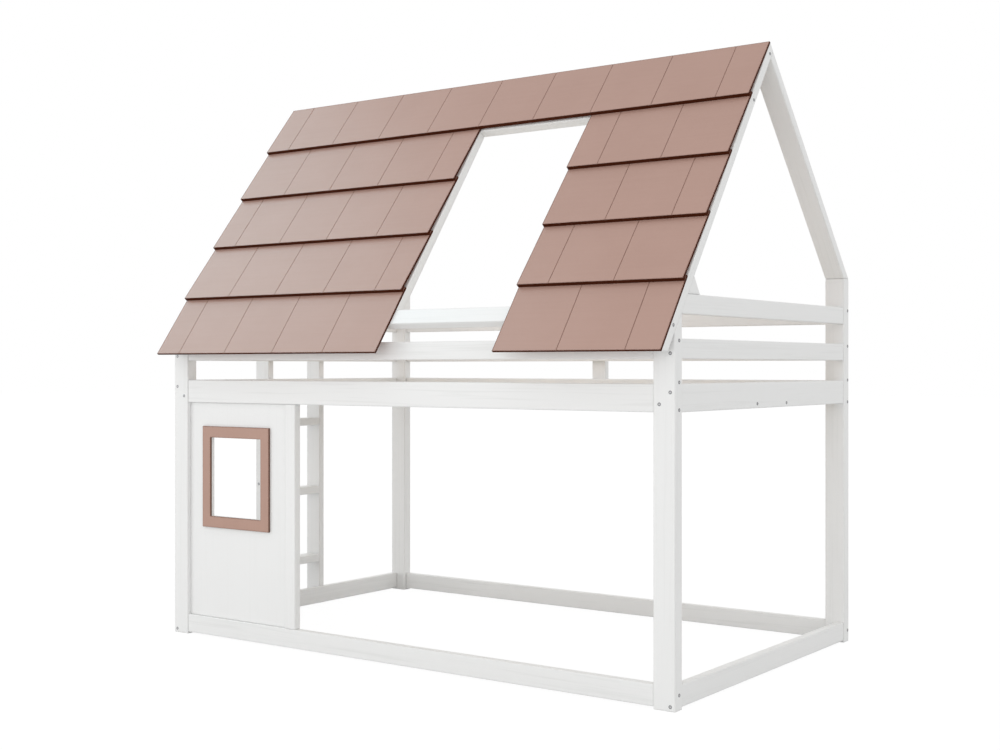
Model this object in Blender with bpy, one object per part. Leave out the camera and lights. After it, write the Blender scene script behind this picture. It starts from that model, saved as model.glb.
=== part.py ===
"""House bunk bed: a low timber bunk with a lapped board roof over its front slope.

Blender 4.5 script. Metres, +Z up, +X along the bed, -Y the side with the wall panel and the roof.
Every piece is drawn from the front left corner of the bed on the floor. An empty then carries
them all, so that the origin of the model lies under the middle of its box.
"""

import math

import bmesh
import bpy
from mathutils import Vector

# Driving sizes of the frame, in metres
bed_length = 2.070
bed_width = 1.272
post_width = 0.070
post_depth = 0.042
rail_thickness = 0.027
rail_setback = 0.002
fit_gap = 0.0003
edge_radius = 0.0025
edge_segments = 2
round_profile = 0.5
sharp_angle = 0.8

# Rails, stacked upwards from the floor
bottom_rail_lift = 0.007
bottom_rail_height = 0.064
lower_space_height = 0.769
main_rail_height = 0.081
guard_gap = 0.070
guard_rail_height = 0.058

# Roof frame, stacked upwards from the rails. The knee is the top of a back post.
eaves_below_mid_rail = 0.037
knee_rise = 0.102
ridge_rise = 0.715
ridge_from_front = 0.626
eaves_overhang = 0.077
rafter_depth = 0.031
lath_width = 0.057
eaves_lath_up = 0.118
purlin_below_course = 0.003
ridge_lath_back = 0.004

# Roof boards: nine tiles long and five courses high, with an open bay of two tiles
tiles_per_course = 9
course_count = 5
bay_start_tiles = 4.5
bay_end_tiles = 6.5
shingle_thickness = 0.0065
butt_thickness = 0.0125
butt_taper = 0.016
shingle_lap = 0.022
groove_width = 0.0024
groove_depth = 0.0014

# Corner blocks on the end top rails, under the gable rafters
block_base = 0.076
block_height = 0.055

# Wall panel with its window, in the left bay below the main rail
panel_right = 0.603
panel_stile_width = 0.048
panel_thickness = 0.012
panel_front = 0.015
panel_edge_radius = 0.0012
window_from_post = 0.111
window_width = 0.252
window_height = 0.282
window_below_rail = 0.1245
window_frame_border = 0.040
window_frame_thickness = 0.008

# Ladder on the outside of the left end
stile_depth = 0.070
stile_thickness = 0.027
ladder_clear_width = 0.263
rung_thickness = 0.030
rung_spacing = 0.280
first_rung_top = 0.200
rung_count = 3
rung_inset = 0.004

# Upper deck: ledgers inside the main rails, two bearers and the slats across them
slats_above_rail_edge = 0.040
ledger_thickness = 0.025
ledger_height = 0.038
bearer_height = 0.038
bearer_thickness = 0.027
bearer_spacing = 0.216
slat_count = 14
slat_width = 0.070
slat_thickness = 0.015
slat_housing = 0.002
slat_clearance = 0.003

# Upright board outside the middle of the back rails
brace_width = 0.060
brace_thickness = 0.027

# Lower and upper edge of each level of rail
bottom_level = (bottom_rail_lift, bottom_rail_lift + bottom_rail_height)
main_rail_bottom = bottom_level[1] + lower_space_height
main_level = (main_rail_bottom, main_rail_bottom + main_rail_height)
mid_rail_bottom = main_level[1] + guard_gap
mid_level = (mid_rail_bottom, mid_rail_bottom + guard_rail_height)
top_rail_bottom = mid_level[1] + guard_gap
top_level = (top_rail_bottom, top_rail_bottom + guard_rail_height)
slat_underside = main_level[0] + slats_above_rail_edge

# Heights of the roof's corners
eaves_height = mid_level[1] - eaves_below_mid_rail
knee_height = top_level[1] + knee_rise
ridge_height = knee_height + ridge_rise

# Colours as seen under plain white light: red, green, blue, roughness
finishes = {
    "white_paint": (0.86, 0.86, 0.85, 0.45),
    "rose_stain": (0.47, 0.32, 0.27, 0.60),
    "raw_pine": (0.72, 0.56, 0.38, 0.65),
}


def clear_scene():
    """Remove whatever the file was opened with."""
    for item in list(bpy.data.objects):
        bpy.data.objects.remove(item, do_unlink=True)


def make_materials():
    """One Principled BSDF for each finish."""
    made = {}
    for name, (red, green, blue, roughness) in finishes.items():
        material = bpy.data.materials.new(name)
        material.use_nodes = True
        shader = material.node_tree.nodes["Principled BSDF"]
        shader.inputs["Base Color"].default_value = (red, green, blue, 1.0)
        shader.inputs["Roughness"].default_value = roughness
        shader.inputs["Metallic"].default_value = 0.0
        made[name] = material
    return made


def add_piece(name, bm, finish, location, tilt=0.0):
    """Turn a finished bmesh into a named piece that hangs on the datum empty."""
    mesh = bpy.data.meshes.new(name)
    bm.to_mesh(mesh)
    bm.free()
    piece = bpy.data.objects.new(name, mesh)
    bpy.context.scene.collection.objects.link(piece)
    piece.data.materials.append(materials[finish])
    piece.location = location
    piece.rotation_euler = (tilt, 0, 0)
    piece.parent = datum
    return piece


def extruded(corners, direction):
    """A closed bmesh that sweeps a flat outline along one direction."""
    bm = bmesh.new()
    face = bm.faces.new([bm.verts.new(corner) for corner in corners])
    grown = bmesh.ops.extrude_face_region(bm, geom=[face])
    moved = [item for item in grown["geom"] if isinstance(item, bmesh.types.BMVert)]
    bmesh.ops.translate(bm, verts=moved, vec=direction)
    bmesh.ops.recalc_face_normals(bm, faces=bm.faces)
    return bm


def ease_edges(bm, radius):
    """Ease every sharp edge of a sawn board, and leave seams across flat faces alone."""
    sharp = [edge for edge in bm.edges if edge.calc_face_angle() > sharp_angle]
    bmesh.ops.bevel(
        bm,
        geom=sharp,
        offset=radius,
        segments=edge_segments,
        profile=round_profile,
        affect="EDGES",
        material=-1,
    )


def sawn_board(outline, length):
    """A board with eased edges that runs along +X from its (y, z) end outline."""
    bm = extruded([(0, y, z) for y, z in outline], (length, 0, 0))
    ease_edges(bm, edge_radius)
    return bm


def rectangle(width, height):
    """End outline of a straight board whose corner is at its own origin."""
    return [(0, 0), (width, 0), (width, height), (0, height)]


def board(name, x_span, y_span, z_span, finish="white_paint"):
    """A straight board between three pairs of limits."""
    size = [high - low for low, high in (x_span, y_span, z_span)]
    shape = sawn_board(rectangle(size[1], size[2]), size[0])
    return add_piece(name, shape, finish, (x_span[0], y_span[0], z_span[0]))


def cut_board(name, outline, x_span):
    """A board along X whose (y, z) outline is given where it stands in the bed."""
    start = Vector(outline[0])
    local = [tuple(Vector(corner) - start) for corner in outline]
    shape = sawn_board(local, x_span[1] - x_span[0])
    return add_piece(name, shape, "white_paint", (x_span[0], *start))


def slope_board(name, x_span, up_span):
    """A board that lies in the front slope with its face flush with the rafters' tops."""
    start = eaves_point + front_up * up_span[0] + front_in * rafter_depth
    shape = sawn_board(rectangle(up_span[1] - up_span[0], rafter_depth), x_span[1] - x_span[0])
    return add_piece(name, shape, "white_paint", (x_span[0], *start), slope_angle)


def crossing(point_a, along_a, point_b, along_b):
    """The point where two lines of the (y, z) plane meet."""
    turn = along_a.x * along_b.y - along_a.y * along_b.x
    offset = point_b - point_a
    reach = (offset.x * along_b.y - offset.y * along_b.x) / turn
    return point_a + along_a * reach


# The two slopes, in the (y, z) plane. Up a slope is towards the ridge, and into a slope is
# square to it, towards the inside of the house.
eaves_point = Vector((-eaves_overhang, eaves_height))
ridge_point = Vector((ridge_from_front, ridge_height))
knee_point = Vector((bed_width, knee_height))
front_up = (ridge_point - eaves_point).normalized()
front_in = Vector((front_up.y, -front_up.x))
back_up = (ridge_point - knee_point).normalized()
back_in = Vector((-back_up.y, back_up.x))
slope_length = (ridge_point - eaves_point).length
slope_angle = math.atan2(front_up.y, front_up.x)
slope_rise = front_up.y / front_up.x

# Roof boards: the shown height of a course and the length of a tile
exposure = slope_length / course_count
tile_length = bed_length / tiles_per_course
bay_span = (bay_start_tiles * tile_length, bay_end_tiles * tile_length)

# Reach of the frame's members along X and along Y
left_post_x = (0, post_width)
right_post_x = (bed_length - post_width, bed_length)
between_posts_x = (post_width + fit_gap, bed_length - post_width - fit_gap)
between_posts_y = (post_depth + fit_gap, bed_width - post_depth - fit_gap)
rail_inner = rail_setback + rail_thickness
left_rail_x = (rail_setback, rail_inner)
right_rail_x = (bed_length - rail_inner, bed_length - rail_setback)
front_rail_y = (rail_setback, rail_inner)
back_rail_y = (bed_width - rail_inner, bed_width - rail_setback)
end_posts = {"left": left_post_x, "right": right_post_x}
end_rails = {"left": left_rail_x, "right": right_rail_x}
side_rails = {"front": front_rail_y, "back": back_rail_y}


def rafter_underside(z):
    """Where a line just inside the front rafters is at height z."""
    start = eaves_point + front_in * (rafter_depth + fit_gap)
    return start.x + (z - start.y) / slope_rise


def make_posts():
    """Front posts end in a scarf under the rafters, back posts in a level knee."""
    scarf = eaves_point + front_in * (rafter_depth + fit_gap)
    front_top = scarf.y + (0 - scarf.x) * slope_rise
    back_top = scarf.y + (post_depth - scarf.x) * slope_rise
    outline = [(0, 0), (post_depth, 0), (post_depth, back_top), (0, front_top)]
    knee_y = (bed_width - post_depth, bed_width)
    for end, span in end_posts.items():
        cut_board("post_front_" + end, outline, span)
        board("post_back_" + end, span, knee_y, (0, knee_height))


def make_gable_rafters():
    """The front rafter runs through to the ridge and the back one butts on its underside."""
    level = Vector((1, 0))
    under_start = eaves_point + front_in * rafter_depth
    tail_inner = crossing(under_start, front_up, eaves_point, level)
    top_inner = crossing(under_start, front_up, knee_point, back_up)
    front = [eaves_point, tail_inner, top_inner, ridge_point]

    butt_start = eaves_point + front_in * (rafter_depth + fit_gap)
    back_under = knee_point + back_in * rafter_depth
    foot_start = Vector((0, knee_height + fit_gap))
    foot_inner = crossing(back_under, back_up, foot_start, level)
    foot_outer = crossing(knee_point, back_up, foot_start, level)
    head_outer = crossing(butt_start, front_up, knee_point, back_up)
    head_inner = crossing(butt_start, front_up, back_under, back_up)
    back = [foot_inner, foot_outer, head_outer, head_inner]
    for end, span in end_posts.items():
        cut_board("rafter_front_" + end, front, span)
        cut_board("rafter_back_" + end, back, span)


def make_roof_laths():
    """Three boards along the roof between the gables, and two rafters beside the open bay."""
    purlin_up = (course_count - 1) * exposure - purlin_below_course
    ridge_lath_up = slope_length - ridge_lath_back - lath_width
    starts = {"eaves_lath": eaves_lath_up, "purlin": purlin_up, "ridge_lath": ridge_lath_up}
    for name, start in starts.items():
        slope_board(name, between_posts_x, (start, start + lath_width))

    up_span = (eaves_lath_up + lath_width + fit_gap, purlin_up - fit_gap)
    left, right = bay_span
    slope_board("rafter_bay_left", (left - post_width, left), up_span)
    slope_board("rafter_bay_right", (right, right + post_width), up_span)


def thicken_butt(shape):
    """Thicken the lower end of a roof board on its underside, where it laps the board below."""
    geom = [*shape.verts, *shape.edges, *shape.faces]
    bmesh.ops.bisect_plane(shape, geom=geom, plane_co=(0, butt_taper, 0), plane_no=(0, 1, 0))
    for vertex in shape.verts:
        if vertex.co.y == 0 and vertex.co.z == 0:
            vertex.co.z = shingle_thickness - butt_thickness


def grooved_board(name, x_span, grooves, run, lift, low_up, ridge_cut):
    """A roof board with V grooves down its face, laid with its lower end lifted off the rafters.

    run is its length up the slope, lift the height of its lower end over its upper end, and
    ridge_cut how far the face runs on past the underside at the ridge.
    """
    half = groove_width / 2
    left, right = x_span
    top = shingle_thickness
    outline = [(0, 0), (right - left, 0), (right - left, top)]
    for groove in reversed(grooves):
        middle = groove - left
        outline += [(middle + half, top), (middle, top - groove_depth), (middle - half, top)]
    outline.append((0, top))
    shape = extruded([(x, 0, z) for x, z in outline], (0, run, 0))
    if ridge_cut:
        for vertex in shape.verts:
            if vertex.co.y > 0:
                vertex.co.y += ridge_cut * vertex.co.z / top
    if lift:
        thicken_butt(shape)
    start = eaves_point + front_up * low_up - front_in * (fit_gap + lift)
    lean = math.asin(lift / run)
    return add_piece(name, shape, "rose_stain", (left, *start), slope_angle - lean)


def make_roof_boards():
    """Five lapped courses. Grooves step by half a tile from one course to the next, and every
    course but the lowest has a thick lower end.
    """
    ridge_corner = front_up.angle(-back_up)
    ridge_cut = shingle_thickness / math.tan(ridge_corner)
    for course in range(course_count):
        low_up = course * exposure
        is_top = course == course_count - 1
        run = exposure if is_top else exposure + shingle_lap
        lift = 0
        if course > 0:
            lift = (butt_thickness + fit_gap) * run / (run - shingle_lap)

        first = 1.0 if course % 2 else 0.5
        places = [(first + step) * tile_length for step in range(tiles_per_course)]
        number = course_count - course
        if is_top:
            spans = {"": (0, bed_length)}
        else:
            spans = {"_left": (0, bay_span[0]), "_right": (bay_span[1], bed_length)}
        for side, span in spans.items():
            inside = (span[0] + groove_width, span[1] - groove_width)
            grooves = [place for place in places if inside[0] < place < inside[1]]
            name = "roof_course_" + str(number) + side
            cut = ridge_cut if is_top else 0
            grooved_board(name, span, grooves, run, lift, low_up, cut)


def make_long_rails():
    """Rails of the front and back, between the posts. The front has no top rail."""
    for side, span in side_rails.items():
        board("bottom_rail_" + side, between_posts_x, span, bottom_level)
        board("main_rail_" + side, between_posts_x, span, main_level)
        board("mid_rail_" + side, between_posts_x, span, mid_level)
    board("top_rail_back", between_posts_x, back_rail_y, top_level)

    outer = back_rail_y[1] + fit_gap
    across = ((bed_length - brace_width) / 2, (bed_length + brace_width) / 2)
    upright = (main_level[0], top_level[1])
    board("back_brace", across, (outer, outer + brace_thickness), upright)


# The ladder's stiles stand about the middle of the end
ladder_half = ladder_clear_width / 2
ladder_middle = bed_width / 2
near_stile_y = (ladder_middle - ladder_half - stile_thickness, ladder_middle - ladder_half)
far_stile_y = (ladder_middle + ladder_half, ladder_middle + ladder_half + stile_thickness)
ladder_inner = rail_setback - fit_gap
ladder_outer = ladder_inner - stile_depth


def scarfed_rail(y_to):
    """End outline of a top rail that meets the post below and the rafter above."""
    low_z, high_z = top_level
    post_face = between_posts_y[0]
    low = rafter_underside(low_z)
    high = rafter_underside(high_z)
    outline = [(max(post_face, low), low_z), (y_to, low_z), (y_to, high_z)]
    outline.append((max(post_face, high), high_z))
    if low < post_face < high:
        outline.append((post_face, low_z + (post_face - low) * slope_rise))
    return outline


def make_end_rails():
    """Rails of both ends. The left top rail is open between the ladder's stiles."""
    for end, span in end_rails.items():
        board("bottom_rail_" + end, span, between_posts_y, bottom_level)
        board("main_rail_" + end, span, between_posts_y, main_level)
        board("mid_rail_" + end, span, between_posts_y, mid_level)

    back_end = between_posts_y[1]
    cut_board("top_rail_right", scarfed_rail(back_end), right_rail_x)
    cut_board("top_rail_left_front", scarfed_rail(near_stile_y[1]), left_rail_x)
    board("top_rail_left_back", left_rail_x, (far_stile_y[0], back_end), top_level)

    seat = top_level[1] + fit_gap
    peak = seat + block_height
    base_front = max(between_posts_y[0], rafter_underside(seat))
    peak_front = max(between_posts_y[0], rafter_underside(peak))
    wedge = [(base_front, seat), (base_front + block_base, seat), (peak_front, peak)]
    for end, span in end_rails.items():
        cut_board("corner_block_" + end, wedge, span)


def make_ladder():
    """Two stiles outside the left end rails, with flat treads between them."""
    reach = (ladder_outer, ladder_inner)
    board("ladder_stile_near", reach, near_stile_y, (0, top_level[1]))
    board("ladder_stile_far", reach, far_stile_y, (0, top_level[1]))
    across = (near_stile_y[1] + fit_gap, far_stile_y[0] - fit_gap)
    tread_reach = (ladder_outer + rung_inset, ladder_inner)
    for step in range(rung_count):
        upper = first_rung_top + step * rung_spacing
        name = "ladder_rung_" + str(step + 1)
        board(name, tread_reach, across, (upper - rung_thickness, upper))


def ring_plate(name, outer_size, hole_size, hole_corner, thickness, finish, location):
    """A flat upright plate with a rectangular opening. Its own origin is its lower left corner."""
    bm = bmesh.new()
    loops = []
    for (width, height), (left, low) in ((outer_size, (0, 0)), (hole_size, hole_corner)):
        corners = [(0, 0), (width, 0), (width, height), (0, height)]
        loops.append([bm.verts.new((left + x, 0, low + z)) for x, z in corners])
    outer, inner = loops
    faces = []
    for index in range(len(outer)):
        corners = (outer[index - 1], outer[index], inner[index], inner[index - 1])
        faces.append(bm.faces.new(corners))
    grown = bmesh.ops.extrude_face_region(bm, geom=faces)
    moved = [item for item in grown["geom"] if isinstance(item, bmesh.types.BMVert)]
    bmesh.ops.translate(bm, verts=moved, vec=(0, thickness, 0))
    bmesh.ops.recalc_face_normals(bm, faces=bm.faces)
    ease_edges(bm, panel_edge_radius)
    return add_piece(name, bm, finish, location)


def make_wall_panel():
    """A board wall with a window opening, its stile, and a stained frame round the opening."""
    low = bottom_level[1] + fit_gap
    high = main_level[0] - fit_gap
    left = between_posts_x[0]
    stile_left = panel_right - panel_stile_width
    right = stile_left - fit_gap
    board("panel_stile", (stile_left, panel_right), front_rail_y, (low, high))

    hole_size = (window_width, window_height)
    hole_left = post_width + window_from_post
    hole_low = main_level[0] - window_below_rail - window_height
    panel_size = (right - left, high - low)
    in_panel = (hole_left - left, hole_low - low)
    place = (left, panel_front, low)
    ring_plate(
        "wall_panel", panel_size, hole_size, in_panel, panel_thickness, "white_paint", place
    )

    border = window_frame_border
    frame_size = (window_width + border + border, window_height + border + border)
    frame_front = panel_front - fit_gap - window_frame_thickness
    place = (hole_left - border, frame_front, hole_low - border)
    ring_plate(
        "window_frame",
        frame_size,
        hole_size,
        (border, border),
        window_frame_thickness,
        "rose_stain",
        place,
    )


def make_ledgers():
    """Ledgers inside the four main rails, all with their tops at the underside of the slats."""
    heights = (slat_underside - ledger_height, slat_underside)
    front_face = front_rail_y[1] + fit_gap
    back_face = back_rail_y[0] - fit_gap
    left_face = left_rail_x[1] + fit_gap
    right_face = right_rail_x[0] - fit_gap
    front = (front_face, front_face + ledger_thickness)
    back = (back_face - ledger_thickness, back_face)
    left = (left_face, left_face + ledger_thickness)
    right = (right_face - ledger_thickness, right_face)
    board("ledger_front", between_posts_x, front, heights, "raw_pine")
    board("ledger_back", between_posts_x, back, heights, "raw_pine")
    board("ledger_left", left, between_posts_y, heights, "raw_pine")
    board("ledger_right", right, between_posts_y, heights, "raw_pine")
    return (left[1] + fit_gap, right[0] - fit_gap)


def make_deck(bearer_x):
    """Slats housed in two long bearers, glued up as one slatted deck."""
    bearer_size = (bearer_thickness, bearer_height + slat_housing)
    bearer_low = slat_underside - bearer_height
    near_y = (bed_width - bearer_spacing - bearer_thickness) / 2
    deck_shape = sawn_board(rectangle(*bearer_size), bearer_x[1] - bearer_x[0])
    far_shape = deck_shape.copy()
    deck = add_piece("slat_deck", deck_shape, "raw_pine", (bearer_x[0], near_y, bearer_low))
    far_place = (bearer_x[0], near_y + bearer_spacing, bearer_low)
    members = [add_piece("far_bearer", far_shape, "raw_pine", far_place)]

    first = between_posts_x[0] + slat_clearance
    last = between_posts_x[1] - slat_clearance - slat_width
    pitch = (last - first) / (slat_count - 1)
    front = front_rail_y[1] + slat_clearance
    back = back_rail_y[0] - slat_clearance
    slat = rectangle(back - front, slat_thickness)
    for step in range(slat_count):
        name = "slat_" + str(step + 1)
        place = (first + step * pitch, front, slat_underside + fit_gap)
        members.append(add_piece(name, sawn_board(slat, slat_width), "raw_pine", place))

    joined = bpy.data.collections.new("deck_members")
    bpy.context.scene.collection.children.link(joined)
    for member in members:
        bpy.context.scene.collection.objects.unlink(member)
        joined.objects.link(member)
        member.hide_render = True
        member.display_type = "WIRE"
    union = deck.modifiers.new("joined", "BOOLEAN")
    union.operation = "UNION"
    union.solver = "EXACT"
    union.operand_type = "COLLECTION"
    union.collection = joined


def place_datum():
    """The empty that carries the bed, set so that the origin is under the middle of its box."""
    roof_edge = eaves_point - front_in * (fit_gap + shingle_thickness)
    brace_outer = back_rail_y[1] + fit_gap + brace_thickness
    middle_x = (ladder_outer + bed_length) / 2
    middle_y = (roof_edge.x + brace_outer) / 2
    empty = bpy.data.objects.new("bed_datum", None)
    bpy.context.scene.collection.objects.link(empty)
    empty.location = (-middle_x, -middle_y, 0)
    return empty


clear_scene()
materials = make_materials()
datum = place_datum()
make_posts()
make_gable_rafters()
make_roof_laths()
make_roof_boards()
make_long_rails()
make_end_rails()
make_ladder()
make_wall_panel()
make_deck(make_ledgers())
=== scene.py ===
"""House bunk bed: finishes, fixings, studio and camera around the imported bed."""

import math

import bmesh
import bpy
from mathutils import Matrix, Vector


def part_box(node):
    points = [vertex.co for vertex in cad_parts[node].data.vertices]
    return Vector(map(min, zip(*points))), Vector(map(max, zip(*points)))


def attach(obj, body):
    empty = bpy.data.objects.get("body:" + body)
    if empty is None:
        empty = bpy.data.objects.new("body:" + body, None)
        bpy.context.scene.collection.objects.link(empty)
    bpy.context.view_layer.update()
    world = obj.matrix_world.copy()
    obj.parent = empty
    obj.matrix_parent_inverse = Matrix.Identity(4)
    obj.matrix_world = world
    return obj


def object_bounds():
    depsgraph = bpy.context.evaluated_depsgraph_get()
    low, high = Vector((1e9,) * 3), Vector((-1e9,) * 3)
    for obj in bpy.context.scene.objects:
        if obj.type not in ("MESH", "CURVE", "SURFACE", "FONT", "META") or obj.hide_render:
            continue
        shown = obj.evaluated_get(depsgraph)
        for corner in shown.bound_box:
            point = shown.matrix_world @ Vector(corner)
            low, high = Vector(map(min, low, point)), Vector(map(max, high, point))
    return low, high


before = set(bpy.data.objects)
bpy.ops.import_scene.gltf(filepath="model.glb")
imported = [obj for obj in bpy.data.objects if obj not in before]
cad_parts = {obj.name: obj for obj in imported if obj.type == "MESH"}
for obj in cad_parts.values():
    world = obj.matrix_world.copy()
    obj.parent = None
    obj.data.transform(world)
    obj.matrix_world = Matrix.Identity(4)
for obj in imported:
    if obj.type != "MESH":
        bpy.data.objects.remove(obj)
cad_low, cad_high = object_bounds()


# Camera: level, at a standing child's eye, off the right front corner of the bed. Its place is
# measured in metres from the front left corner: X along the bed, Y to the back.
bed_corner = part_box("post_front_left")[0]
camera_place = Vector((3.9677, -3.4785, 0.9696))
camera_pitch = math.radians(90)
camera_turn = math.radians(35.717)
lens_mm = 50.56
sensor_mm = 36.0
horizon_shift = -0.00844

lens = bpy.data.cameras.new("camera")
lens.lens = lens_mm
lens.sensor_width = sensor_mm
lens.sensor_fit = "HORIZONTAL"
lens.shift_y = horizon_shift
camera = bpy.data.objects.new("camera", lens)
camera.location = bed_corner + camera_place
camera.rotation_euler = (camera_pitch, 0, camera_turn)
bpy.context.scene.collection.objects.link(camera)
bpy.context.scene.camera = camera
bpy.context.scene.view_settings.view_transform = "Standard"


# Floor and surround: a plain pale studio floor under a soft white surround. What the camera
# sees behind the bed is white, and the floor keeps a faint shadow.
class Value:
    """A number on a finish's nodes, which Python's operators reckon with."""

    def __init__(self, finish, socket):
        self.finish = finish
        self.socket = socket

    def __add__(self, other):
        return self.finish.maths("ADD", self, other)

    __radd__ = __add__

    def __rsub__(self, other):
        return self.finish.maths("SUBTRACT", other, self)

    def __mul__(self, other):
        return self.finish.maths("MULTIPLY", self, other)

    __rmul__ = __mul__

    def clamped(self):
        """The number, kept from 0 to 1."""
        return self.finish.maths("ADD", self, 0.0, clamp=True)

    def unsigned(self):
        """The number without its sign."""
        return self.finish.maths("ABSOLUTE", self)

    def fraction(self):
        """What is left of the number over its whole part."""
        return self.finish.maths("FRACT", self)

    def between(self, low, high):
        """0 where the number is at low, 1 at high, and smooth on the way."""
        settings = {"interpolation_type": "SMOOTHSTEP"}
        sockets = {"Value": self, "From Min": low, "From Max": high}
        return self.finish.value("ShaderNodeMapRange", settings, sockets)


class Finish:
    """A material or world under construction."""

    def __init__(self, owner):
        self.owner = owner
        owner.use_nodes = True
        self.tree = owner.node_tree
        self.tree.nodes.clear()

    def node(self, kind, settings=None, sockets=None):
        """Add a node, make its settings, then fill or link its sockets."""
        made = self.tree.nodes.new(kind)
        for name, setting in (settings or {}).items():
            setattr(made, name, setting)
        for name, source in (sockets or {}).items():
            if isinstance(source, Value):
                source = source.socket
            if isinstance(source, bpy.types.NodeSocket):
                self.tree.links.new(source, made.inputs[name])
            else:
                made.inputs[name].default_value = source
        return made

    def value(self, kind, settings=None, sockets=None, output=0):
        """The same, for a node of which one output is a number."""
        return Value(self, self.node(kind, settings, sockets).outputs[output])

    def maths(self, operation, first, second=None, clamp=False):
        """One step of shader maths, on one number or two."""
        settings = {"operation": operation, "use_clamp": clamp}
        sockets = {0: first} if second is None else {0: first, 1: second}
        return self.value("ShaderNodeMath", settings, sockets)

    def likeness(self, first, second):
        """How alike two directions are: 1 for the same, 0 across, and -1 for opposite."""
        settings = {"operation": "DOT_PRODUCT"}
        return self.value("ShaderNodeVectorMath", settings, {0: first, 1: second}, "Value")

    def mix(self, first, second, share):
        """A colour between two, by a share from 0 to 1.

        Of the Mix node's sockets, inputs 6 and 7 and output 2 are its colours.
        """
        settings = {"data_type": "RGBA", "clamp_factor": True}
        return self.node("ShaderNodeMix", settings, {0: share, 6: first, 7: second}).outputs[2]

    def done(self, surface):
        """The finished material or world, with that surface."""
        world = isinstance(self.owner, bpy.types.World)
        kind = "ShaderNodeOutputWorld" if world else "ShaderNodeOutputMaterial"
        self.node(kind, sockets={"Surface": surface})
        return self.owner


def seen_directly(finish):
    """1 for what the camera sees by itself, in gloss or through glass, and 0 for what only lights."""
    path = finish.node("ShaderNodeLightPath")
    camera_ray = Value(finish, path.outputs["Is Camera Ray"])
    glossy_ray = Value(finish, path.outputs["Is Glossy Ray"])
    glass_ray = Value(finish, path.outputs["Is Transmission Ray"])
    return (camera_ray + glossy_ray + glass_ray).clamped()


white_light = (1, 1, 1, 1)
surround_strength = 0.95
surround = Finish(bpy.data.worlds.new("studio_surround"))
strength = surround_strength + seen_directly(surround) * (1.0 - surround_strength)
backdrop = surround.node("ShaderNodeBackground", sockets={0: white_light, 1: strength})
bpy.context.scene.world = surround.done(backdrop.outputs[0])

floor_reach = 40.0
floor_drop = 0.0004
floor_colour = (0.68, 0.68, 0.68, 1)
floor_white_share = 0.90
floor_white_strength = 1.06
shape = bmesh.new()
bmesh.ops.create_grid(shape, x_segments=1, y_segments=1, size=floor_reach)
bmesh.ops.translate(shape, verts=shape.verts, vec=(0, 0, -floor_drop))
floor_mesh = bpy.data.meshes.new("floor")
shape.to_mesh(floor_mesh)
shape.free()
floor = bpy.data.objects.new("floor", floor_mesh)
bpy.context.scene.collection.objects.link(floor)
floor_finish = Finish(bpy.data.materials.new("pale_floor"))
matt = floor_finish.node("ShaderNodeBsdfDiffuse", sockets={0: floor_colour})
white = floor_finish.node("ShaderNodeEmission", sockets={0: white_light, 1: floor_white_strength})
white_share = seen_directly(floor_finish) * floor_white_share
sockets = {0: white_share, 1: matt.outputs[0], 2: white.outputs[0]}
both = floor_finish.node("ShaderNodeMixShader", sockets=sockets)
floor_mesh.materials.append(floor_finish.done(both.outputs[0]))


# Lamps: two large soft ones in front light the white faces. A weak one under the roof lights
# the back rails, and one high on the left only lends the left half of the roof its pale sheen.
# Their places are measured in metres from the middle of the bed's floor.
def soft_lamp(name, place, size, watts):
    """A square lamp that faces the middle of the bed."""
    light = bpy.data.lights.new(name, "AREA")
    light.shape = "SQUARE"
    light.size = size
    light.energy = watts
    lamp = bpy.data.objects.new(name, light)
    lamp.location = place
    aim = Vector((0, 0, cad_high[2] / 2)) - lamp.location
    lamp.rotation_euler = aim.to_track_quat("-Z", "Y").to_euler()
    bpy.context.scene.collection.objects.link(lamp)
    return lamp


soft_lamp("front_lamp", place=(1.9, -5.4, 0.9), size=3.0, watts=48)
soft_lamp("side_lamp", place=(-4.0, -4.6, 0.8), size=2.4, watts=32)

# The inner lamp is turned up from straight down until it looks at the back rails
inner_lamp_turn = math.radians(56)
inner_lamp = soft_lamp("inner_lamp", place=(-0.1, -0.2, 1.5), size=0.9, watts=2.5)
inner_lamp.rotation_euler = (inner_lamp_turn, 0, 0)
inner_lamp.visible_camera = False
inner_lamp.visible_glossy = False

sheen_tint = (0.54, 0.91, 1.0)
roof_lamp = soft_lamp("roof_lamp", place=(-4.25, -1.08, 4.12), size=3.3, watts=82)
roof_lamp.visible_diffuse = False
roof_lamp.data.color = sheen_tint


# Posts: four square-edged posts of planed softwood. The front two are cut to the slope of the
# rafters that rest on them, the back two end level at the knee. Like the whole frame they have
# a matt white paint: the growth rings show through faintly, and the eased edges a little warm.
paint_colour = (0.835, 0.838, 0.832, 1)
paint_shade = (0.818, 0.821, 0.813, 1)
paint_grain = (0.735, 0.740, 0.728, 1)
paint_thin = (0.80, 0.765, 0.70, 1)
paint_roughness = 0.38
paint_relief = 0.00035
edge_reach = 0.0035
edge_span = (0.004, 0.10)

# The paint's patterns, in counts per metre along the board and across it, or either way.
# A span is where a pattern starts to show and where it shows fully.
ring_counts = (2.2, 95.0)
ring_span = (0.50, 0.72)
pore_counts = (18.0, 620.0)
tone_counts = (0.9, 7.0)
tone_span = (0.35, 0.75)
skin_count = 780.0
patch_count = 38.0
patch_span = (0.45, 0.75)

# Shares of the patterns in the paint's colour, roughness and relief
ring_share = 0.5
thin_share = 0.45
ring_roughness = 0.08
edge_roughness = 0.06
ring_height = 0.30
pore_height = 0.07
skin_height = 0.06

# The share of shine that paint, stain and bare wood have alike
wood_gloss = 0.5

quarter_turn = math.radians(90)
axis_turns = {"x": (0, 0, 0), "y": (0, 0, quarter_turn), "z": (0, quarter_turn, 0)}
bevel_rays = 6


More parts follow.
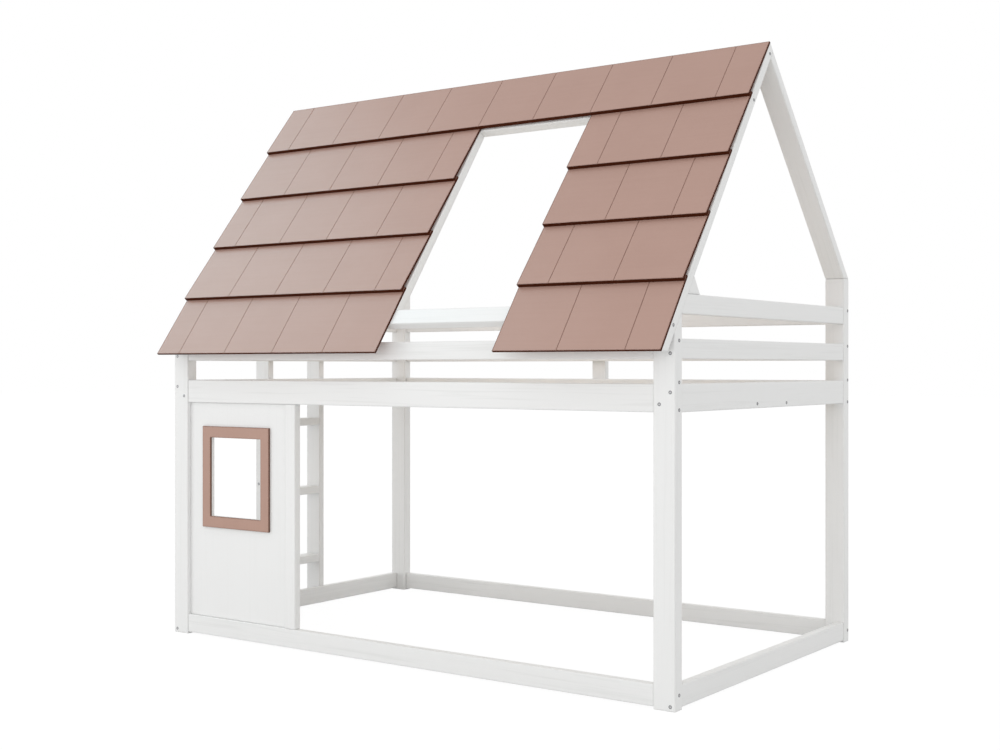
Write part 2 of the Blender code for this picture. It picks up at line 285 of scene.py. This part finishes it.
def grain_place(finish, along, tilt):
    """Object coordinates turned so that X runs along the board."""
    place = finish.node("ShaderNodeTexCoord").outputs["Object"]
    sockets = {"Vector": place, "Rotation": (-tilt, 0, 0)}
    level = finish.node("ShaderNodeMapping", sockets=sockets).outputs[0]
    sockets = {"Vector": level, "Rotation": axis_turns[along]}
    return finish.node("ShaderNodeMapping", sockets=sockets).outputs[0]


def stretched(finish, place, counts):
    """The same coordinates in counts per metre, along the board and across it."""
    along, across = counts
    sockets = {"Vector": place, "Scale": (along, across, across)}
    return finish.node("ShaderNodeMapping", sockets=sockets).outputs[0]


def even_noise(finish, place, count, detail=2.0, roughness=0.5, bend=0.0):
    """Noise from 0 to 1, with as many counts per metre either way."""
    sockets = {"Vector": place, "Scale": count, "Detail": detail}
    sockets.update({"Roughness": roughness, "Distortion": bend})
    return finish.value("ShaderNodeTexNoise", None, sockets)


def long_noise(finish, place, counts, detail=2.0, roughness=0.5, bend=0.0):
    """Noise from 0 to 1, drawn out along the board."""
    return even_noise(finish, stretched(finish, place, counts), 1.0, detail, roughness, bend)


def edge_mask(finish, reach, span):
    """1 along the eased edges of a board and 0 on its faces, with the rounded normal."""
    rounded = finish.node("ShaderNodeBevel", {"samples": bevel_rays}, {"Radius": reach}).outputs[0]
    flat = finish.node("ShaderNodeNewGeometry").outputs["Normal"]
    return (1.0 - finish.likeness(rounded, flat)).between(*span), rounded


def matt_surface(finish, colour, roughness, height, relief, gloss, normal=None):
    """The board's own surface. relief is the height of its bumps in metres."""
    sockets = {"Height": height, "Strength": 1.0, "Distance": relief}
    if normal is not None:
        sockets["Normal"] = normal
    bump = finish.node("ShaderNodeBump", None, sockets).outputs[0]
    sockets = {"Base Color": colour, "Roughness": roughness, "Normal": bump}
    sockets["Specular IOR Level"] = gloss
    return finish.node("ShaderNodeBsdfPrincipled", None, sockets).outputs[0]


def white_paint(along, tilt=0.0, name="white_paint", grain=0.6):
    """Matt white paint on a board whose grain runs along one direction and shows by that much."""
    finish = Finish(bpy.data.materials.new(name + "_" + along))
    place = grain_place(finish, along, tilt)
    rings = long_noise(finish, place, ring_counts, detail=3.0, roughness=0.55, bend=0.6)
    pores = long_noise(finish, place, pore_counts, detail=1.0)
    skin = even_noise(finish, place, skin_count, detail=1.0)
    tone = long_noise(finish, place, tone_counts)
    patch = even_noise(finish, place, patch_count)
    edge, rounded = edge_mask(finish, edge_reach, edge_span)
    colour = finish.mix(paint_colour, paint_shade, tone.between(*tone_span) * grain)
    colour = finish.mix(colour, paint_grain, rings.between(*ring_span) * (ring_share * grain))
    colour = finish.mix(colour, paint_thin, edge * patch.between(*patch_span) * thin_share)
    roughness = paint_roughness + rings * ring_roughness + edge * edge_roughness
    height = rings * (ring_height * grain) + pores * pore_height + skin * skin_height
    surface = matt_surface(finish, colour, roughness, height, paint_relief, wood_gloss, rounded)
    return finish.done(surface)


def dress(names, material):
    """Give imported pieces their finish."""
    for name in names:
        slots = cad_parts[name].data.materials
        slots.clear()
        slots.append(material)


sides = ("front", "back")
ends = ("left", "right")
upright_paint = white_paint("z")
dress(["post_" + side + "_" + end for side in sides for end in ends], upright_paint)


# Bottom rails: four boards on edge, just clear of the floor, that tie the posts' feet.
# Main rails: four deep boards that carry the deck.
# Guard rails: narrower boards above them, two high at the back and ends and one in front.
long_grain = 1.0
long_paint = white_paint("x", grain=long_grain)
cross_paint = white_paint("y")
for kind in ("bottom_rail_", "main_rail_", "mid_rail_"):
    dress([kind + side for side in sides], long_paint)
    dress([kind + end for end in ends], cross_paint)
dress(["top_rail_back"], long_paint)
dress(["top_rail_right", "top_rail_left_front", "top_rail_left_back"], cross_paint)


# Back brace: a short upright board outside the middle of the back rails, which ties the three
# of them. It is painted like the posts.
dress(["back_brace"], upright_paint)


# Deck: ledgers screwed inside the main rails, two bearers, and bare slats across them, all of
# planed pale pine with its rings and a few small knots.
pine_colour = (0.855, 0.775, 0.660, 1)
pine_late_wood = (0.755, 0.610, 0.450, 1)
pine_knot = (0.270, 0.140, 0.065, 1)
pine_roughness = 0.52
pine_relief = 0.00025
late_span = (0.35, 0.95)
late_share = 0.6
late_roughness = 0.1
late_height = 0.4

# Each ring's late wood is where a count of rings, bent by a slow wander, comes round
year_counts = (1.1, 48.0)
year_rings = 9.0
wander_counts = (1.3, 12.0)
wander_rings = 3.0
knot_counts = (2.6, 9.0)
knot_span = (0.06, 0.15)
knot_share = 0.75
pine_pore_counts = (22.0, 800.0)
pine_pore_height = 0.4


def bare_pine(along):
    """Planed pine with its rings and a few knots."""
    finish = Finish(bpy.data.materials.new("bare_pine_" + along))
    place = grain_place(finish, along, 0.0)
    wander = long_noise(finish, place, wander_counts)
    years = long_noise(finish, place, year_counts, bend=1.1)
    late = (years * year_rings + wander * wander_rings).fraction().between(*late_span)
    sockets = {"Vector": stretched(finish, place, knot_counts), "Scale": 1.0}
    spots = finish.value("ShaderNodeTexVoronoi", None, sockets)
    knot = 1.0 - spots.between(*knot_span)
    pores = long_noise(finish, place, pine_pore_counts, detail=1.0)
    colour = finish.mix(pine_colour, pine_late_wood, late * late_share)
    colour = finish.mix(colour, pine_knot, knot * knot_share)
    roughness = pine_roughness + late * late_roughness
    height = late * late_height + pores * pine_pore_height
    return finish.done(matt_surface(finish, colour, roughness, height, pine_relief, wood_gloss))


pine_across = bare_pine("y")
pine_along = bare_pine("x")
dress(["ledger_front", "ledger_back"], pine_along)
dress(["ledger_left", "ledger_right", "slat_deck"], pine_across)


# Gable rafters: two boards meet at the ridge of each gable. The front one runs on past the
# post as the eaves tail, the back one stands on the back post's knee. They are painted like
# the posts, with the grain along their slope.
front_tilt = math.radians(54.4)
back_tilt = math.radians(-47.9)
dress(["rafter_front_" + end for end in ends], white_paint("y", front_tilt, "front_rafter"))
dress(["rafter_back_" + end for end in ends], white_paint("y", back_tilt, "back_rafter"))


# Corner blocks: small painted triangles of the same wood, which steady the foot of each gable
# on the end top rails.
dress(["corner_block_" + end for end in ends], cross_paint)


# Roof laths: three boards along the roof carry the roof boards, and two short rafters stand
# beside the open bay.
dress(["ridge_lath", "purlin", "eaves_lath"], white_paint("x", front_tilt, "lath"))
dress(["rafter_bay_left", "rafter_bay_right"], white_paint("y", front_tilt, "bay_rafter"))


# Roof boards: thin boards lapped in five courses, which V grooves part into tiles. They are
# stained rose brown on their faces and dark brown on their cut edges, where the stain soaks in.
# The groove walls are painted darker as painted shade, and a dark brown band along each arris
# is painted shade, which thickens the dark lines under the laps.
rose_colour = (0.426, 0.263, 0.214, 1)
rose_deep = (0.387, 0.232, 0.186, 1)
# The groove walls' colour is painted shade, darker than the faces
groove_shade_colour = (0.255, 0.140, 0.105, 1)
# The cut edges' own dark stain, which also paints the band of shade along each arris
cut_edge_and_shade_colour = (0.067, 0.0140, 0.0040, 1)
cut_edge_and_shade_deep = (0.047, 0.0095, 0.0026, 1)
rose_roughness = 0.36
rose_relief = 0.0002
cut_roughness = 0.75
cut_relief = 0.0003
cut_gloss = 0.06

# How squarely a spot looks out from the board: cut edges hardly do, groove walls partly
cut_span = (0.30, 0.55)
groove_span = (0.72, 0.97)
# The band along each arris, within this reach, is painted shade
arris_shade_reach = 0.0085
arris_shade_span = (0.10, 0.16)

# The stain's patterns, in counts per metre, and their shares
streak_counts = (3.0, 130.0)
streak_span = (0.30, 0.72)
streak_share = 0.18
cloud_count = 5.5
cloud_span = (0.30, 0.70)
cloud_share = 0.30
mottle_count = 46.0
mottle_share = 0.12
stain_pore_counts = (24.0, 900.0)
stain_roughness_share = 0.05
streak_height = 0.20
stain_pore_height = 0.15
mottle_height = 0.15


def rose_stain(name, out, along, tilt, faces, edges):
    """Rose-brown stain on a board whose face looks in the direction out, darker on its cut edges.

    faces and edges are each a colour and the deeper colour that it wanders to. The groove walls
    are painted shade, and the edges' colour also paints a band of shade along each arris.
    """
    finish = Finish(bpy.data.materials.new(name))
    place = grain_place(finish, along, tilt)
    streaks = long_noise(finish, place, streak_counts, detail=3.0, roughness=0.6, bend=0.4)
    pores = long_noise(finish, place, stain_pore_counts, detail=1.0)
    clouds = even_noise(finish, place, cloud_count)
    mottle = even_noise(finish, place, mottle_count)
    depth = streaks.between(*streak_span) * streak_share + clouds.between(*cloud_span) * cloud_share
    colour = finish.mix(faces[0], faces[1], depth + mottle * mottle_share)
    normal = finish.node("ShaderNodeTexCoord").outputs["Normal"]
    outward = finish.likeness(normal, out).unsigned()
    flat = outward.between(*groove_span)
    # The groove walls are painted darker: painted shade in the grooves
    colour = finish.mix(groove_shade_colour, colour, flat)
    roughness = rose_roughness + streaks * stain_roughness_share + mottle * stain_roughness_share
    height = streaks * streak_height + pores * stain_pore_height + mottle * mottle_height
    face = matt_surface(finish, colour, roughness, height, rose_relief, wood_gloss)
    cut_and_shade_colour = finish.mix(edges[0], edges[1], mottle)
    cut_and_shade = matt_surface(finish, cut_and_shade_colour, cut_roughness, mottle, cut_relief, cut_gloss)
    # A dark band along each arris is painted shade, which thickens the dark lines under the laps
    arris_shade, _ = edge_mask(finish, arris_shade_reach, arris_shade_span)
    face_share = outward.between(*cut_span) * (1.0 - arris_shade * flat)
    both = finish.node("ShaderNodeMixShader", None, {0: face_share, 1: cut_and_shade, 2: face})
    return finish.done(both.outputs[0])


slope_out = (0, -math.sin(front_tilt), math.cos(front_tilt))
roof_faces = (rose_colour, rose_deep)
roof_edges_and_shade = (cut_edge_and_shade_colour, cut_edge_and_shade_deep)
roof_stain = rose_stain("roof_stain", slope_out, "x", front_tilt, roof_faces, roof_edges_and_shade)
dress([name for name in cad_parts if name.startswith("roof_course_")], roof_stain)


# Wall: a board panel behind the frame's face, held by the left post and a slim stile. A frame
# is planted round its window opening, in the roof's stain but warmer and with paler edges. As on
# the roof, a band along each arris is painted shade.
panel_grain = 0.2
frame_out = (0, -1, 0)
frame_faces = ((0.437, 0.264, 0.205, 1), (0.397, 0.233, 0.178, 1))
# The frame's cut sides, whose colour also paints the band of shade along each arris
frame_edges_and_shade = ((0.190, 0.105, 0.078, 1), (0.150, 0.080, 0.056, 1))
dress(["panel_stile"], upright_paint)
dress(["wall_panel"], white_paint("z", 0.0, "panel_paint", grain=panel_grain))
window_stain = rose_stain("window_stain", frame_out, "z", 0.0, frame_faces, frame_edges_and_shade)
dress(["window_frame"], window_stain)


# Ladder: two flat stiles on the outside of the left end, and three flat treads between them.
# All are painted like the frame, with the grain along each board.
steps = (1, 2, 3)
dress(["ladder_stile_near", "ladder_stile_far"], upright_paint)
dress(["ladder_rung_" + str(step) for step in steps], cross_paint)


# Bolts: every joint is drawn up by bolts of dull zinc with a flat round head and a hexagon
# socket, let in so that the head stands just proud of the paint. Their places are measured in
# metres from the bed's front left corner, as a joiner would mark them.
bolt_radius = 0.0054
bolt_rim = 0.0007
bolt_proud = 0.0009
bolt_sunk = 0.0015
socket_radius = 0.0025
socket_depth = 0.0013
head_sides = 20
key_sides = 6
smooth_under = math.radians(30)

# The head's rings from its sunk base, over the rim and down to the floor of its hexagon socket:
# how many sides each has, its radius and its height
head_rings = (
    (head_sides, bolt_radius, -bolt_sunk),
    (head_sides, bolt_radius, bolt_proud - bolt_rim),
    (head_sides, bolt_radius - bolt_rim, bolt_proud),
    (key_sides, socket_radius, bolt_proud),
    (key_sides, socket_radius, bolt_proud - socket_depth),
)

zinc_dark = (0.20, 0.20, 0.21, 1)
zinc_light = (0.32, 0.32, 0.33, 1)
zinc_metal = 0.85
zinc_roughness = 0.30
scuff_count = 900.0
scuff_roughness = 0.2
scuff_relief = 0.00005
zinc = Finish(bpy.data.materials.new("dull_zinc"))
zinc_place = zinc.node("ShaderNodeTexCoord").outputs["Object"]
scuffs = even_noise(zinc, zinc_place, scuff_count, detail=3.0)
zinc_bump = zinc.node("ShaderNodeBump", None, {"Height": scuffs, "Distance": scuff_relief})
sockets = {"Base Color": zinc.mix(zinc_dark, zinc_light, scuffs), "Metallic": zinc_metal}
sockets["Roughness"] = zinc_roughness + scuffs * scuff_roughness
sockets["Normal"] = zinc_bump.outputs[0]
dull_zinc = zinc.done(zinc.node("ShaderNodeBsdfPrincipled", None, sockets).outputs[0])


def edges_of(head, ring):
    """The edges from each corner of a ring to the next, in that order."""
    return [head.edges.get(pair) for pair in zip(ring, ring[1:] + ring[:1])]


def bolt_head():
    """One bolt head that stands up along +Z from the surface at z 0."""
    head = bmesh.new()
    rings = []
    for sides, radius, height in head_rings:
        ring = bmesh.ops.create_circle(head, segments=sides, radius=radius)["verts"]
        bmesh.ops.translate(head, verts=ring, vec=(0, 0, height))
        rings.append(ring)
    for ring, next_ring in zip(rings, rings[1:]):
        both_rings = edges_of(head, ring) + edges_of(head, next_ring)
        bmesh.ops.bridge_loops(head, edges=both_rings)
    head.faces.new(rings[0])
    head.faces.new(rings[-1])
    bmesh.ops.recalc_face_normals(head, faces=head.faces)
    mesh = bpy.data.meshes.new("bolt_head")
    head.to_mesh(mesh)
    head.free()
    return mesh


one_bolt = bolt_head()


def bolts(name, places, out):
    """A group of bolt heads on one face of the bed, which looks in the direction out."""
    group = bmesh.new()
    turn = Vector(out).to_track_quat("Z", "Y").to_matrix().to_4x4()
    for place in places:
        before = set(group.verts)
        group.from_mesh(one_bolt)
        fresh = [corner for corner in group.verts if corner not in before]
        spot = Matrix.Translation(bed_corner + Vector(place)) @ turn
        bmesh.ops.transform(group, matrix=spot, verts=fresh)
    mesh = bpy.data.meshes.new(name)
    group.to_mesh(mesh)
    group.free()
    made = bpy.data.objects.new(name, mesh)
    bpy.context.scene.collection.objects.link(made)
    mesh.materials.append(dull_zinc)
    mesh.shade_smooth()
    mesh.set_sharp_from_angle(angle=smooth_under)
    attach(made, "root")


# Bolts through the posts' front and back faces, which hold the end rails. The lines are how far
# in from the bed's end they stand, the heights are above the floor.
bed_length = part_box("post_front_right")[1].x - bed_corner.x
bed_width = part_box("post_back_left")[1].y - bed_corner.y
outer_line = 0.0152
inner_line = 0.0504
outer_heights = (1.007, 0.897, 0.0138)
inner_height = 0.863
for side, y, out in (("front", 0.0, (0, -1, 0)), ("back", bed_width, (0, 1, 0))):
    spots = []
    for start, step in ((0.0, 1.0), (bed_length, -1.0)):
        spots += [(start + step * outer_line, y, height) for height in outer_heights]
        spots.append((start + step * inner_line, y, inner_height))
    bolts("bolts_" + side + "_posts", spots, out)

# Bolts through the posts' end faces, which hold the long rails, and through the rafters. The
# lines are how far in they stand from the front and the back, the spots are Y and Z.
front_line = 0.0245
back_line = 0.0100
front_heights = (1.043, 0.925, 0.847, 0.044)
back_heights = (1.166, 1.0415, 0.922, 0.845, 0.0395)
rafter_spots = ((0.622, 1.958), (0.506, 1.794), (-0.009, 1.086))
for end, x, out in (("left", 0.0, (-1, 0, 0)), ("right", bed_length, (1, 0, 0))):
    spots = [(x, front_line, height) for height in front_heights]
    spots += [(x, bed_width - back_line, height) for height in back_heights]
    spots += [(x, y, z) for y, z in rafter_spots]
    bolts("bolts_" + end + "_end", spots, out)

# Bolts through the end main rails into the deck's bearers, as Y and Z
bearer_spots = ((0.535, 0.854), (0.751, 0.853))
for end, out in (("left", (-1, 0, 0)), ("right", (1, 0, 0))):
    low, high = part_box("main_rail_" + end)
    x = (low.x if end == "left" else high.x) - bed_corner.x
    bolts("bolts_bearers_" + end, [(x, y, z) for y, z in bearer_spots], out)

# Bolts through the ladder's stiles into the ends of the treads, in from each tread's outer edge
# and up from its middle
tread_bolt_in = 0.012
tread_bolt_up = 0.040
spots_near, spots_far = [], []
near_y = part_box("ladder_stile_near")[0].y - bed_corner.y
far_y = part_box("ladder_stile_far")[1].y - bed_corner.y
for step in steps:
    low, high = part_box("ladder_rung_" + str(step))
    x = low.x - bed_corner.x + tread_bolt_in
    z = (low.z + high.z) / 2 + tread_bolt_up
    spots_near.append((x, near_y, z))
    spots_far.append((x, far_y, z))
bolts("bolts_ladder_near", spots_near, (0, -1, 0))
bolts("bolts_ladder_far", spots_far, (0, 1, 0))

# Bolts through the back brace into the three back rails
low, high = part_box("back_brace")
brace_x = (low.x + high.x) / 2 - bed_corner.x
brace_y = high.y - bed_corner.y
spots = []
for rail in ("main_rail_back", "mid_rail_back", "top_rail_back"):
    rail_low, rail_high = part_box(rail)
    spots.append((brace_x, brace_y, (rail_low.z + rail_high.z) / 2))
bolts("bolts_back_brace", spots, (0, 1, 0))
